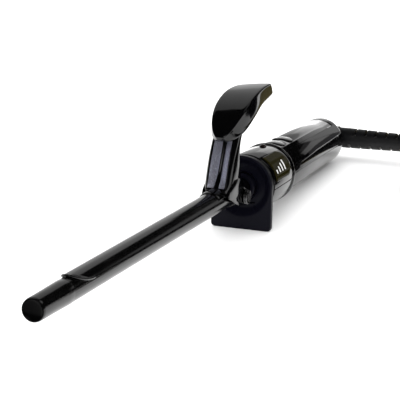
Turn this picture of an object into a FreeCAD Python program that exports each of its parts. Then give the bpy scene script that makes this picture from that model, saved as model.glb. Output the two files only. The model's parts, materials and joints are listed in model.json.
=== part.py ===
import FreeCAD, Part
import math
import os
import re

import Sketcher
from FreeCAD import Placement, Rotation, Vector

# A slim spring-clip curling iron, lying on its stand foot and the underside of its handle.
#
# Every piece of the iron is drawn in the iron's own frame: X runs along the barrel towards the tip,
# Y points to the label side, Z points to the thumb lever, and X = 0 is the front face of the guard.
# RESTING then tips the whole iron nose up, so that the flat foot of the guard lies on Z = 0 with the
# middle of its face at the origin. The cord, its coil and the plug are drawn where they lie.

doc = FreeCAD.newDocument("CurlingIron")

# ---------------------------------------------------------------- driving dimensions, mm and degrees

SIZES = {
    # resting pose
    "nose_up": 3.54, "foot_depth": 19.7,
    # barrel, measured along X from the guard's front face
    "tube_radius": 4.75, "tube_wall": 0.6, "tube_tail": 27, "joint_station": 185, "tip_station": 209,
    "core_radius": 1.9, "spreader_radius": 4.0, "heater_start": 30, "heater_length": 120,
    # clip
    "clip_radius": 5.55, "clip_wall": 0.6, "clip_rear": 24, "clip_nose": 182, "clip_half_angle": 67,
    "foot_half_angle": 58,
    "hinge_station": 13, "hinge_drop": 1, "rivet_radius": 1.2, "running_gap": 0.05,
    "stem_width": 11.8, "cap_width": 14.6, "ear_inner": 5.7, "ear_outer": 6.5, "ear_radius": 4.1,
    "recess_width": 7.8, "spring_coil_radius": 3, "spring_wire": 0.42, "spring_centre": 7,
    # guard
    "guard_half_width": 14.6, "guard_thickness": 5, "dish_radius": 13.2, "dish_floor_radius": 10.6,
    "dish_depth": 3, "guard_bore": 6.6, "foot_corner": 1.6,
    # handle
    "collar_radius": 14, "collar_front": 7, "collar_rear": 34, "collar_wall": 2.6,
    "bead_radius": 14.4, "bead_rear": 37.5,
    "grip_radius": 12.8, "grip_end_radius": 12.15, "grip_end": 124, "handle_end": 131, "shell_wall": 2.2,
    "lower_seam_angle": 4.8, "seam_gap_angle": 0.5, "strip_angle": 52, "strip_end": 118,
    "label_low_angle": 8, "label_high_angle": 62, "label_front": 9.5, "label_rear": 32.5, "inlay_depth": 1,
    "button_half_width": 2.9, "button_half_length": 5.2, "button_front": 46.5, "button_rear": 58.5,
    "button_gap": 0.1, "button_foot": 5.7, "board_length": 66, "board_width": 16, "board_height": 1.6,
    # swivel and strain relief
    "neck_radius": 4.2, "swivel_gap": 0.08, "elbow_radius": 6, "elbow_station": 138.4,
    "relief_base_radius": 5.4, "relief_end_radius": 4.4, "relief_start": 6.05, "relief_end": 54,
    "upper_slot": 9.5, "lower_slot": 6.6, "slot_pitch": 5.6, "slot_width": 1.3, "slot_floor": 2.6,
    # cord, coil and plug
    "cord_radius": 3, "coil_lift": 0.8, "turn_radius": 33, "coil_columns": 3, "coil_rows": 4,
    "coil_centre_aside": 93.5, "tie_width": 14,
    "plug_length": 36, "plug_width": 30, "plug_height": 14, "pin_radius": 2, "pin_length": 19,
    "pin_spacing": 18.6, "plug_axis_height": 7.2, "plug_turn": 15.26,
}

sheet = doc.addObject("Spreadsheet::Sheet", "Sizes")
for row, (alias, value) in enumerate(SIZES.items(), start=1):
    sheet.set(f"A{row}", alias)
    sheet.set(f"B{row}", str(value))
    sheet.setAlias(f"B{row}", alias)
doc.recompute()


def cells(expression):
    """Write the sheet's name before each alias in an expression."""
    def named(match):
        word = match.group()
        return f"Sizes.{word}" if word in SIZES else word
    return re.sub(r"[a-z_]\w*", named, str(expression))


def number(expression):
    """The present value of an expression on the sheet."""
    return float(sheet.evalExpression(cells(expression)))


def bind(thing, **properties):
    """Bind properties of an object to expressions on the sheet."""
    for name, expression in properties.items():
        thing.setExpression(name, cells(expression))
    return thing


def turned_about_x(degrees):
    return Placement(Vector(), Rotation(Vector(1, 0, 0), degrees))


# The middle of the foot's face goes to the origin, and the iron turns nose up about it.
TIP_UP = Rotation(Vector(0, 1, 0), -number("nose_up"))
FOOT = Vector(-number("guard_thickness") / 2, 0, -number("foot_depth"))
RESTING = Placement(-TIP_UP.multVec(FOOT), TIP_UP)

PIECES = {}


def keep(node, thing, placement=RESTING):
    """Name a finished sub-part and put it in its place."""
    thing.Label = node
    thing.Placement = placement
    PIECES[node] = thing
    return thing


# ------------------------------------------------------------------------------- drawing helpers

def origin_plane(body, role):
    return next(plane for plane in body.Origin.OriginFeatures if plane.Role == role)


def arc_centre(start, end, radius):
    """Centre of the short arc from start to end; a positive radius bulges to the right of the way."""
    half = (end - start) * 0.5
    side = Vector(-half.y, half.x, 0).normalize()
    rise = math.sqrt(max(radius * radius - half.Length ** 2, 0))
    return start + half + side * math.copysign(rise, radius)


def outline(body, role, points, offset=0):
    """A closed sketch through points (across, up), or (across, up, radius of the arc to the next)."""
    sketch = body.newObject("Sketcher::SketchObject", f"{body.Name}_outline")
    sketch.AttachmentSupport = (origin_plane(body, role), "")
    sketch.MapMode = "FlatFace"
    if offset:
        sketch.setExpression("AttachmentOffset.Base.z", cells(offset))
    corners = [Vector(number(point[0]), number(point[1]), 0) for point in points]
    starts = []
    ends = []
    for index, point in enumerate(points):
        here = corners[index]
        there = corners[(index + 1) % len(corners)]
        if len(point) == 2:
            sketch.addGeometry(Part.LineSegment(here, there), False)
            starts.append(1)
            ends.append(2)
            continue
        radius = number(point[2])
        centre = arc_centre(here, there, radius)
        first, last = (here, there) if radius > 0 else (there, here)
        angles = [math.atan2(end.y - centre.y, end.x - centre.x) for end in (first, last)]
        circle = Part.Circle(centre, Vector(0, 0, 1), abs(radius))
        edge = sketch.addGeometry(Part.ArcOfCircle(circle, *angles), False)
        starts.append(1 if radius > 0 else 2)
        ends.append(3 - starts[-1])
        bound = sketch.addConstraint(Sketcher.Constraint("Radius", edge, abs(radius)))
        sketch.setExpression(f"Constraints[{bound}]", cells(f"abs({point[2]})"))
    for index in range(len(points)):
        after = (index + 1) % len(points)
        sketch.addConstraint(Sketcher.Constraint("Coincident", index, ends[index], after, starts[after]))
    for index, point in enumerate(points):
        for kind, axis, value, text in (("DistanceX", -2, corners[index].x, point[0]),
                                        ("DistanceY", -1, corners[index].y, point[1])):
            if abs(value) < 1e-9:
                sketch.addConstraint(Sketcher.Constraint("PointOnObject", index, starts[index], axis))
                continue
            bound = sketch.addConstraint(Sketcher.Constraint(kind, -1, 1, index, starts[index], value))
            sketch.setExpression(f"Constraints[{bound}]", cells(text))
    return sketch


def turned(name, points, sweep=360):
    """A body turned about X from an outline of stations and radii, starting at +Y towards +Z."""
    body = doc.addObject("PartDesign::Body", name)
    turn = body.newObject("PartDesign::Revolution", f"{name}_turn")
    turn.Profile = outline(body, "XY_Plane", points)
    turn.ReferenceAxis = (turn.Profile[0], ["H_Axis"])
    turn.Angle = 360
    return bind(turn, Angle=sweep) and body


def padded(name, role, points, length, offset=0, symmetric=False, reverse=False):
    """A body padded from a flat outline."""
    body = doc.addObject("PartDesign::Body", name)
    add_pad(body, role, points, length, offset, symmetric, reverse)
    return body


def add_pad(body, role, points, length, offset=0, symmetric=False, reverse=False, kind="Pad"):
    """Pad or pocket an outline in a body."""
    feature = body.newObject(f"PartDesign::{kind}", f"{body.Name}_{kind}")
    feature.Profile = outline(body, role, points, offset)
    feature.SideType = "Symmetric" if symmetric else "One side"
    feature.Reversed = reverse
    return bind(feature, Length=length)


def cut_away(body, *arguments, **options):
    """Pocket a body, and stop if the pocket missed it."""
    doc.recompute()
    before = body.Shape.Volume
    feature = add_pad(body, *arguments, kind="Pocket", **options)
    doc.recompute()
    if not body.Shape.Volume < before - 0.01:
        raise SystemExit(f"{feature.Name} cuts nothing")
    return feature


def primitive(kind, name, place, direction=(0, 0, 1), **sizes):
    """A Part primitive with its sizes and its place bound to the sheet."""
    thing = doc.addObject(f"Part::{kind}", name)
    bind(thing, **sizes)
    thing.Placement = Placement(Vector(), Rotation(Vector(0, 0, 1), Vector(*direction)))
    for axis, expression in zip("xyz", place):
        thing.setExpression(f"Placement.Base.{axis}", cells(expression))
    return thing


def joined(name, kind, things):
    """A boolean or a compound of several objects."""
    thing = doc.addObject(f"Part::{kind}", name)
    if kind == "Cut":
        thing.Base, thing.Tool = things
    elif kind == "Compound":
        thing.Links = things
    else:
        thing.Shapes = things
    return thing


ALONG_X = (1, 0, 0)
ALONG_Y = (0, 1, 0)

# ------------------------------------------------------------------------------------ the barrel

keep("barrel_tube", turned("barrel_tube", [
    ("-tube_tail", "tube_radius - tube_wall"), ("joint_station", "tube_radius - tube_wall"),
    ("joint_station", "tube_radius"), ("-tube_tail", "tube_radius")]))

# The cap's spigot fits in the tube, and its nose narrows to a rounded face.
keep("cool_tip", turned("cool_tip", [
    ("joint_station - 12", "0"), ("tip_station", "0"), ("tip_station", "2.6", "1.6"),
    ("tip_station - 1.5", "4.05"), ("joint_station + 14", "4.45"), ("joint_station + 0.6", "4.85"),
    ("joint_station + 0.05", "4.6"), ("joint_station + 0.05", "tube_radius - tube_wall - 0.02"),
    ("joint_station - 12", "tube_radius - tube_wall - 0.02")]))

keep("heater_core", turned("heater_core", [
    ("heater_start", "0"), ("heater_start + heater_length", "0"),
    ("heater_start + heater_length", "core_radius"), ("heater_start", "core_radius")]))

# Two half-round aluminium spreaders carry the heat from the core to the tube.
halves = []
for side, start in (("upper", 2), ("lower", 182)):
    half = turned(f"spreader_{side}", [
        ("heater_start + 2", "core_radius + 0.1"), ("heater_start + heater_length - 2", "core_radius + 0.1"),
        ("heater_start + heater_length - 2", "spreader_radius"),
        ("heater_start + 2", "spreader_radius")], 176)
    half.Placement = turned_about_x(start)
    halves.append(half)
keep("heat_spreaders", joined("heat_spreaders", "Compound", halves))

keep("thermal_fuse", turned("thermal_fuse", [
    ("heater_start - 12", "0"), ("heater_start - 3", "0"), ("heater_start - 1", "0.4"),
    ("heater_start - 1.5", "1.5"), ("heater_start - 11", "1.5"), ("heater_start - 12", "0.6")]))

leads = [primitive("Cylinder", f"lead_{index}", (-39, 2.8 * side, 0), ALONG_X, Radius="0.55",
                   Height="heater_start + 37") for index, side in enumerate((-1, 1))]
keep("heater_leads", joined("heater_leads", "Compound", leads))

# A heat-proof bush holds the tube in the collar and shows as the boss in the guard's dish.
keep("barrel_socket", turned("barrel_socket", [
    ("-tube_tail", "tube_radius + 0.02"), ("1.2", "tube_radius + 0.02"), ("1.2", "5.9"),
    ("0.6", "guard_bore - 0.1"), ("-10.2", "guard_bore - 0.1"), ("-10.2", "7.3"),
    ("-tube_tail + 2", "7.3"), ("-tube_tail", "6.4")]))

# ------------------------------------------------------------------------------- the hinge saddle

# A sleeve on the tube with a flat boss on each side, which carries a rivet for the clip's ear.
saddle = turned("saddle_sleeve", [
    ("5.2", "tube_radius + 0.02"), ("20", "tube_radius + 0.02"), ("20", "5.15"), ("19", "5.4"),
    ("6.2", "5.4"), ("5.2", "5.15")])
bosses = [primitive("Cylinder", f"saddle_boss_{name}", ("hinge_station", y, "-hinge_drop"), ALONG_Y,
                    Radius="3.4", Height="0.8") for name, y in (("label", 4.8), ("far", -5.6))]
bore = primitive("Cylinder", "saddle_bore", (0, 0, 0), ALONG_X, Radius="tube_radius + 0.02", Height="30")
saddle_solid = joined("saddle_solid", "Cut", [joined("saddle_body", "MultiFuse", [saddle] + bosses), bore])
rivet_holes = primitive("Cylinder", "saddle_rivet_holes", ("hinge_station", -10, "-hinge_drop"), ALONG_Y,
                        Radius="rivet_radius + 0.01", Height="20")
keep("clip_saddle", joined("clip_saddle", "Cut", [saddle_solid, rivet_holes]))

rivets = []
for name, side in (("label", 1), ("far", -1)):
    shank = primitive("Cylinder", f"rivet_shank_{name}", ("hinge_station", 5.0 * side, "-hinge_drop"),
                      (0, side, 0), Radius="rivet_radius", Height="3")
    head = primitive("Cylinder", f"rivet_head_{name}", ("hinge_station", 7.75 * side, "-hinge_drop"),
                     (0, side, 0), Radius="2.1", Height="0.7")
    rivets.append(joined(f"rivet_{name}", "MultiFuse", [shank, head]))
keep("hinge_rivets", joined("hinge_rivets", "Compound", rivets))

# ---------------------------------------------------------------------------------------- the clip

# The tongue is a half-round gutter over the top of the tube, with a rounded nose.
tongue = turned("tongue_gutter", [
    ("clip_rear", "clip_radius - clip_wall"), ("clip_nose", "clip_radius - clip_wall"),
    ("clip_nose", "clip_radius"), ("clip_rear", "clip_radius")], "2 * clip_half_angle")
tongue.Placement = turned_about_x(90 - number("clip_half_angle"))
nose_cutter = padded("tongue_nose_cutter", "XY_Plane", [
    ("clip_nose - 13", "-8"), ("clip_nose - 13", "-clip_radius", "20"), ("clip_nose", "0", "20"),
    ("clip_nose - 13", "clip_radius"), ("clip_nose - 13", "8"), ("clip_nose + 3", "8"),
    ("clip_nose + 3", "-8")], 12)
keep("clip_tongue", joined("clip_tongue", "Cut", [tongue, nose_cutter]))

# The lever's side view: a stem that leans back, and a thumb rest that bends over the handle.
lever = padded("lever_moulding", "XZ_Plane", [
    ("34.4", "4.2", "65"), ("22.2", "30.3"), ("20", "36"), ("9", "34.8"), ("16.5", "29.2", "-13"),
    ("21.5", "21"), ("20", "14"), ("15.5", "7"), ("15.5", "4.2")], "stem_width", symmetric=True)
add_pad(lever, "XZ_Plane", [
    ("31.2", "29", "22"), ("17.5", "40.6"), ("-2", "45.4", "60"), ("-15.4", "46.6", "1.4"), ("-16.8", "45.4"),
    ("-20.2", "41.6", "1.4"), ("-19.2", "40.3"), ("6.3", "36.2"), ("16", "32.4"), ("24", "26.4")],
    "cap_width", symmetric=True)
# Side skirts come down past the tube to the hinge.
add_pad(lever, "XZ_Plane", [
    ("34.3", "4.4"), ("35", "2.2"), ("30.5", "1.2"), ("19.5", "-4.4"),
    ("hinge_station", "-hinge_drop - ear_radius", "-ear_radius"),
    ("hinge_station - ear_radius", "-hinge_drop", "-ear_radius"),
    ("hinge_station", "-hinge_drop + ear_radius"), ("15.5", "7.2"), ("20", "14"), ("31", "10")],
    "2 * ear_outer", symmetric=True)
# A recess runs up the front of the stem and leaves a wall on each side.
cut_away(lever, "XZ_Plane", [("31.2", "6.6", "65"), ("21.9", "26.3"), ("40", "26.3"), ("40", "6.6")],
         "recess_width", symmetric=True)
# The thumb rest narrows to a round nose in plan, over the stem.
cut_away(lever, "XY_Plane", [
    ("15", "-cap_width"), ("15", "-cap_width / 2", "30"), ("27.5", "-4", "5.2"), ("31.3", "0", "5.2"),
    ("27.5", "4", "30"), ("15", "cap_width / 2"), ("15", "cap_width"), ("40", "cap_width"),
    ("40", "-cap_width")], 25, offset="26.3", reverse=True)
# The foot of the stem ends in a low half ring that hugs the tongue.
foot_ring = turned("lever_foot_ring", [
    ("30", "clip_radius"), ("42", "clip_radius"), ("42", "clip_radius + 0.3"), ("40.5", "clip_radius + 0.7"),
    ("30", "clip_radius + 0.9")], "2 * foot_half_angle")
foot_ring.Placement = turned_about_x(90 - number("foot_half_angle"))
slot = primitive("Box", "skirt_slot", (-5, "-ear_inner", -12), Length="41", Width="2 * ear_inner",
                 Height="12")
tube_way = primitive("Cylinder", "lever_tube_way", (-5, 0, 0), ALONG_X, Radius="clip_radius + 0.03",
                     Height="60")
ear_way = primitive("Box", "ear_slot", (-5, "-ear_inner", -1), Length="27", Width="2 * ear_inner",
                    Height="7.6")
ear_holes = primitive("Cylinder", "ear_holes", ("hinge_station", -10, "-hinge_drop"), ALONG_Y,
                      Radius="rivet_radius + running_gap", Height="20")
lever_ways = joined("lever_ways", "MultiFuse", [slot, tube_way, ear_way, ear_holes])
lever_solid = joined("lever_solid", "MultiFuse", [lever, foot_ring])
keep("clip_lever", joined("clip_lever", "Cut", [lever_solid, lever_ways]))

# A plain satin plate lies on the floor of the recess.
keep("lever_inlay", padded("lever_inlay", "XZ_Plane", [
    ("31.35", "6.75", "65"), ("22.05", "26.15"), ("22.75", "26.15", "-65"), ("32.05", "6.75")],
    "recess_width - 0.2", symmetric=True))

# Two rivets hold the tongue to the foot of the lever from inside.
tongue_rivets = [primitive("Cylinder", f"tongue_rivet_{index}", (station, 0, 4.95), Radius="1.1",
                           Height="1.2") for index, station in enumerate((29, 37))]
keep("tongue_rivets", joined("tongue_rivets", "Compound", tongue_rivets))

# A torsion spring sits on each rivet, outside the ear: two turns of wire and two straight legs.
springs = []
for name, side in (("label", 1), ("far", -1)):
    turns = []
    for index in (0, 1):
        aside = f"{side} * (spring_centre + {index} * 2.1 * spring_wire)"
        turn_centre = ("hinge_station", aside, "-hinge_drop")
        turns.append(primitive("Torus", f"spring_turn_{name}_{index}", turn_centre, ALONG_Y,
                               Radius1="spring_coil_radius", Radius2="spring_wire"))
    lever_leg = primitive("Cylinder", f"spring_lever_leg_{name}",
                          ("hinge_station", f"{side} * spring_centre", "-hinge_drop + spring_coil_radius"),
                          (1, 0, 0.5), Radius="spring_wire", Height="5")
    guard_leg = primitive("Cylinder", f"spring_guard_leg_{name}",
                          ("hinge_station", f"{side} * spring_centre", "-hinge_drop - spring_coil_radius"),
                          (-1, 0, -0.2), Radius="spring_wire", Height="11.5")
    springs.append(joined(f"spring_{name}", "MultiFuse", turns + [lever_leg, guard_leg]))
keep("clip_springs", joined("clip_springs", "Compound", springs))

# --------------------------------------------------------------------------------------- the guard

# A round-topped plate with straight sides, whose lower edge is the stand's foot.
plate = padded("guard_blank", "YZ_Plane", [
    ("-guard_half_width", "0", "-guard_half_width"), ("0", "guard_half_width", "-guard_half_width"),
    ("guard_half_width", "0"), ("guard_half_width", "-foot_depth + foot_corner", "-foot_corner"),
    ("guard_half_width - foot_corner", "-foot_depth"),
    ("guard_half_width - foot_corner - 1", "-foot_depth - 1"),
    ("-guard_half_width + foot_corner + 1", "-foot_depth - 1"),
    ("-guard_half_width + foot_corner", "-foot_depth", "-foot_corner"),
    ("-guard_half_width", "-foot_depth + foot_corner")], "guard_thickness", reverse=True)
dish = plate.newObject("PartDesign::Groove", "guard_dish")
dish.Profile = outline(plate, "XY_Plane", [
    ("1", "0"), ("1", "dish_radius"), ("0", "dish_radius"), ("-dish_depth", "dish_floor_radius"),
    ("-dish_depth", "guard_bore"), ("-guard_thickness - 1", "guard_bore"), ("-guard_thickness - 1", "0")])
dish.ReferenceAxis = (dish.Profile[0], ["H_Axis"])
dish.Angle = 360
# The table's plane trims the foot, so that it lies flat when the iron rests nose up.
table = bind(doc.addObject("Part::Box", "table_trim"), Length="40", Width="40", Height="10")
table.Placement = RESTING.inverse().multiply(Placement(Vector(-20, -20, -10), Rotation()))


def guard_screw_pins(name, radius, start, length):
    """One cylinder for each of the two screws that hold the guard to the collar."""
    return [primitive("Cylinder", f"{name}_{index}", (start, 7.4 * side, -5.4), ALONG_X, Radius=radius,
                      Height=length) for index, side in enumerate((-1, 1))]


keep("guard_plate", joined("guard_plate", "Cut", [plate, joined("guard_cuts", "MultiFuse", [
    table] + guard_screw_pins("guard_screw_hole", "1.03", -6, "3"))]))

gasket = turned("gasket_ring", [
    ("-collar_front + 0.05", "guard_bore + 0.2"), ("-guard_thickness - 0.05", "guard_bore + 0.2"),
    ("-guard_thickness - 0.05", "13.5"), ("-collar_front + 0.05", "13.5")])
keep("guard_gasket", joined("guard_gasket", "Cut", [gasket, joined(
    "gasket_holes", "MultiFuse", guard_screw_pins("gasket_hole", "1.03", -8, "4"))]))

screw_parts = zip(guard_screw_pins("guard_screw_shank", "1", -10.3, "7"),
                  guard_screw_pins("guard_screw_head", "1.7", -11.7, "1.6"))
keep("guard_screws", joined("guard_screws", "Compound", [
    joined(f"guard_screw_{index}", "MultiFuse", parts) for index, parts in enumerate(screw_parts)]))

# -------------------------------------------------------------------------------------- the collar

collar_ring = [
    ("-collar_rear", "collar_radius - collar_wall"), ("-collar_front - 3", "collar_radius - collar_wall"),
    ("-collar_front - 3", "guard_bore + 0.2"), ("-collar_front", "guard_bore + 0.2"),
    ("-collar_front", "collar_radius - 0.5"), ("-collar_front - 0.5", "collar_radius"),
    ("-collar_rear", "collar_radius")]
collar_upper = turned("collar_upper", collar_ring, "180 + 2 * lower_seam_angle - seam_gap_angle")
collar_upper.Placement = turned_about_x(-number("lower_seam_angle - seam_gap_angle / 2"))
collar_lower = turned("collar_lower", collar_ring, "180 - 2 * lower_seam_angle - seam_gap_angle")
collar_lower.Placement = turned_about_x(180 + number("lower_seam_angle + seam_gap_angle / 2"))


def inlay_block(name, gap, floor, top):
    """A piece of the collar's ring with a rounded rear end, for the label panel and its pocket."""
    sector = turned(f"{name}_sector", [
        (f"-label_rear - {gap}", floor), (f"-label_front + {gap}", floor), (f"-label_front + {gap}", top),
        (f"-label_rear - {gap}", top)], f"label_high_angle - label_low_angle + 6 * {gap}")
    sector.Placement = turned_about_x(number(f"label_low_angle - 3 * {gap}"))
    rounded_end = padded(f"{name}_outline", "XY_Plane", [
        (f"-label_front + {gap} + 1", f"-7 - {gap}"), (f"-label_front + {gap} + 1", f"7 + {gap}"),
        (f"-label_rear + 6", f"7 + {gap}", "9"), (f"-label_rear - {gap}", "0", "9"),
        (f"-label_rear + 6", f"-7 - {gap}")], 20)
    rounded_end.Placement = turned_about_x(number("(label_low_angle + label_high_angle) / 2") - 90)
    return joined(name, "MultiCommon", [sector, rounded_end])


label_pocket = inlay_block("label_pocket", 0.08, "collar_radius - inlay_depth - 0.05", "collar_radius + 1")
lamp_hole = primitive("Cylinder", "lamp_hole", (-29, 0, 8), Radius="1.75", Height="10")
collar_cuts = joined("collar_cuts", "MultiFuse", [label_pocket, lamp_hole])
keep("collar_top", joined("collar_top", "Cut", [collar_upper, collar_cuts]))
collar_bottom_holes = joined("collar_bottom_holes", "MultiFuse", guard_screw_pins(
    "collar_screw_hole", "1.03", -11, "6"))
keep("collar_bottom", joined("collar_bottom", "Cut", [collar_lower, collar_bottom_holes]))
keep("label_panel", inlay_block("label_panel", 0, "collar_radius - inlay_depth", "collar_radius + 0.05"))

keep("power_lamp", turned("power_lamp_lens", [
    ("10.2", "0"), ("15", "0", "2.4"), ("14.2", "1.65"), ("11", "1.65"), ("11", "2.4"), ("10.2", "2.4")]),
    RESTING.multiply(Placement(Vector(-29, 0, 0), Rotation(Vector(0, 1, 0), -90))))

keep("bead_ring", turned("bead_ring", [
    ("-bead_rear", "10.4"), ("-collar_rear - 0.05", "10.4"), ("-collar_rear - 0.05", "bead_radius - 0.6"),
    ("-collar_rear - 0.5", "bead_radius", "3"), ("-bead_rear + 0.6", "bead_radius - 0.3"),
    ("-bead_rear", "bead_radius - 1")]))

# -------------------------------------------------------------------------------------- the handle

grip_ring = [
    ("-bead_rear - 0.05", "grip_radius - shell_wall"), ("-bead_rear - 0.05", "grip_radius"),
    ("-grip_end", "grip_end_radius", "7.2"), ("-handle_end", "5.4"),
    ("-handle_end", "neck_radius + swivel_gap"), ("-handle_end + 3", "neck_radius + swivel_gap"),
    ("-handle_end + 3", "8.6"), ("-grip_end + 1", "grip_end_radius - shell_wall")]
grip_upper = turned("grip_upper", grip_ring, "180 - seam_gap_angle")
grip_upper.Placement = turned_about_x(number("seam_gap_angle / 2"))
grip_lower = turned("grip_lower", grip_ring, "180 - seam_gap_angle")
grip_lower.Placement = turned_about_x(180 + number("seam_gap_angle / 2"))
strip_opening = turned("strip_opening", [
    ("-strip_end", "7"), ("-bead_rear + 1", "7"), ("-bead_rear + 1", "16"), ("-strip_end", "16")],
    "180 - 2 * strip_angle")
strip_opening.Placement = turned_about_x(number("strip_angle"))
keep("handle_top", joined("handle_top", "Cut", [grip_upper, strip_opening]))

screw_stations = (-44, -106)
screw_ways = [primitive("Cylinder", f"shell_screw_way_{index}", (station, 0, -15), Radius="2.1", Height="5.4")
              for index, station in enumerate(screw_stations)]
keep("handle_bottom", joined("handle_bottom", "Cut", [
    grip_lower, joined("shell_screw_ways", "MultiFuse", screw_ways)]))
shell_screws = []
for index, station in enumerate(screw_stations):
    head = primitive("Cylinder", f"screw_head_{index}", (station, 0, -11.6), Radius="2", Height="1.5")
    shank = primitive("Cylinder", f"screw_shank_{index}", (station, 0, -10.2), Radius="1", Height="8")
    shell_screws.append(joined(f"shell_screw_{index}", "MultiFuse", [head, shank]))
keep("shell_screws", joined("shell_screws", "Compound", shell_screws))

strip_share = "(strip_end - bead_rear) / (grip_end - bead_rear)"
strip = turned("strip_cover", [
    ("-strip_end + 0.1", "grip_end_radius - shell_wall"), ("-bead_rear - 0.05", "grip_radius - shell_wall"),
    ("-bead_rear - 0.05", "grip_radius"),
    ("-strip_end + 0.1", f"grip_radius - (grip_radius - grip_end_radius) * {strip_share}")],
    "180 - 2 * strip_angle - seam_gap_angle")
strip.Placement = turned_about_x(number("strip_angle + seam_gap_angle / 2"))


def oval(name, station, grow, bottom, length):
    """An upright prism with rounded ends, longer across the handle than along it."""
    end_radius = f"button_half_width + {grow}"
    front = f"-{station} + {end_radius}"
    rear = f"-{station} - ({end_radius})"
    across = "button_half_length - button_half_width"
    around = f"-({end_radius})"
    return padded(name, "XY_Plane", [
        (rear, f"-({across})"), (rear, across, around), (f"-{station}", f"{across} + {end_radius}", around),
        (front, across), (front, f"-({across})", around),
        (f"-{station}", f"-({across}) - ({end_radius})", around)], length, offset=bottom)


button_stations = ("button_front", "button_rear")
button_ways = [oval(f"{station}_way", station, "button_gap", "6", 10) for station in button_stations]
keep("button_strip", joined("button_strip", "Cut", [strip, joined("button_ways", "MultiFuse", button_ways)]))

for station in button_stations:
    stem = oval(f"{station}_stem", station, "0", "7.4", 8)
    crown = turned(f"{station}_crown", [
        (f"-{station} - 6", "0"), (f"-{station} + 6", "0"), (f"-{station} + 6", "grip_radius + 0.15"),
        (f"-{station} - 6", "grip_radius + 0.15")])
    cap = joined(f"{station}_cap", "MultiCommon", [stem, crown])
    flange = oval(f"{station}_flange", station, "0.7", "7.2", 0.8)
    peg = primitive("Cylinder", f"{station}_peg", (f"-{station}", 0, "button_foot"), Radius="1.4",
                    Height="1.6")
    keep(station, joined(f"{station}_key", "MultiFuse", [cap, flange, peg]))

# ------------------------------------------------------------------------ what the handle holds

keep("circuit_board", joined("circuit_board", "Compound", [primitive(
    "Box", "board_blank", (-106, "-board_width / 2", -0.8), Length="board_length", Width="board_width",
    Height="board_height")]))
switches = []
for station in button_stations:
    base = primitive("Box", f"{station}_switch_base", (f"-{station} - 3", -3, "board_height / 2 + 0.02"),
                     Length="6", Width="6", Height="3.4")
    plunger = primitive("Cylinder", f"{station}_plunger", (f"-{station}", 0, "board_height / 2 + 3.4"),
                        Radius="1.6", Height="0.75")
    switches.append(joined(f"{station}_switch", "MultiFuse", [base, plunger]))
keep("tact_switches", joined("tact_switches", "Compound", switches))
keep("power_triac", joined("power_triac", "Compound", [primitive(
    "Box", "triac_case", (-80, -5, "board_height / 2 + 0.02"), Length="9", Width="10", Height="4.4")]))
keep("filter_capacitor", joined("filter_capacitor", "Compound", [primitive(
    "Box", "capacitor_case", (-98, -6, "board_height / 2 + 0.02"), Length="13", Width="12", Height="5.6")]))
keep("cord_terminals", joined("cord_terminals", "Compound", [
    primitive("Cylinder", f"terminal_{index}", (-104, y, "board_height / 2 + 0.02"), Radius="1.3", Height="4")
    for index, y in enumerate((-5, 0, 5))]))

# The swivel's neck turns in the rear wall, kept by a washer inside.
keep("swivel_keeper", turned("swivel_keeper", [
    ("-handle_end + 5", "neck_radius + swivel_gap"), ("-handle_end + 6.4", "neck_radius + swivel_gap"),
    ("-handle_end + 6.4", "8.6"), ("-handle_end + 5", "8.6")]))
neck = turned("swivel_neck", [
    ("-handle_end + 10", "1.6"), ("-handle_end + 10", "neck_radius"), ("-handle_end + 4.7", "neck_radius"),
    ("-handle_end + 4.7", "6.4"), ("-handle_end + 3.3", "6.4"), ("-handle_end + 3.3", "neck_radius"),
    ("-handle_end - 1", "neck_radius"), ("-handle_end - 1", "1.6")])
keep("swivel_neck", neck)
elbow_hub = turned("elbow_hub", [
    ("-handle_end - 1.05", "0"), ("-handle_end - 1.05", "5.2"), ("-handle_end - 1.9", "elbow_radius"),
    ("-elbow_station", "elbow_radius", "elbow_radius"), ("-elbow_station - elbow_radius", "0")])
elbow_arm = primitive("Cylinder", "elbow_arm", ("-elbow_station", 0, 0), ALONG_Y, Radius="elbow_radius - 0.1",
                      Height="relief_start - 0.05")
keep("swivel_elbow", joined("swivel_elbow", "MultiFuse", [elbow_hub, elbow_arm]))

# The strain relief leaves the elbow square to the handle and tapers towards the cord. Staggered
# slots, cut from above and from below, let it flex.
relief_length = "relief_end - relief_start"
relief = turned("relief_blank", [
    ("0", "0"), (relief_length, "0"), (relief_length, "relief_end_radius - 0.8"),
    (f"{relief_length} - 0.8", "relief_end_radius"), ("7", "relief_base_radius"),
    ("0", "relief_base_radius")])
slots = []
for index in range(7):
    for side, bottom in (("upper", "slot_floor"), ("lower", "-slot_floor - 6")):
        start = f"{side}_slot + {index} * slot_pitch"
        slots.append(primitive("Box", f"{side}_slot_{index}", (start, -8, bottom),
                               Length="slot_width", Width="16", Height="6"))
ALONG_RELIEF = RESTING.multiply(Placement(
    Vector(-number("elbow_station"), number("relief_start"), 0), Rotation(Vector(0, 0, 1), 90)))
keep("strain_relief", joined("strain_relief", "Cut", [relief, joined("relief_slots", "MultiFuse", slots)]),
     ALONG_RELIEF)

# ---------------------------------------------------------------------------- cord, coil and plug


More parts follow.
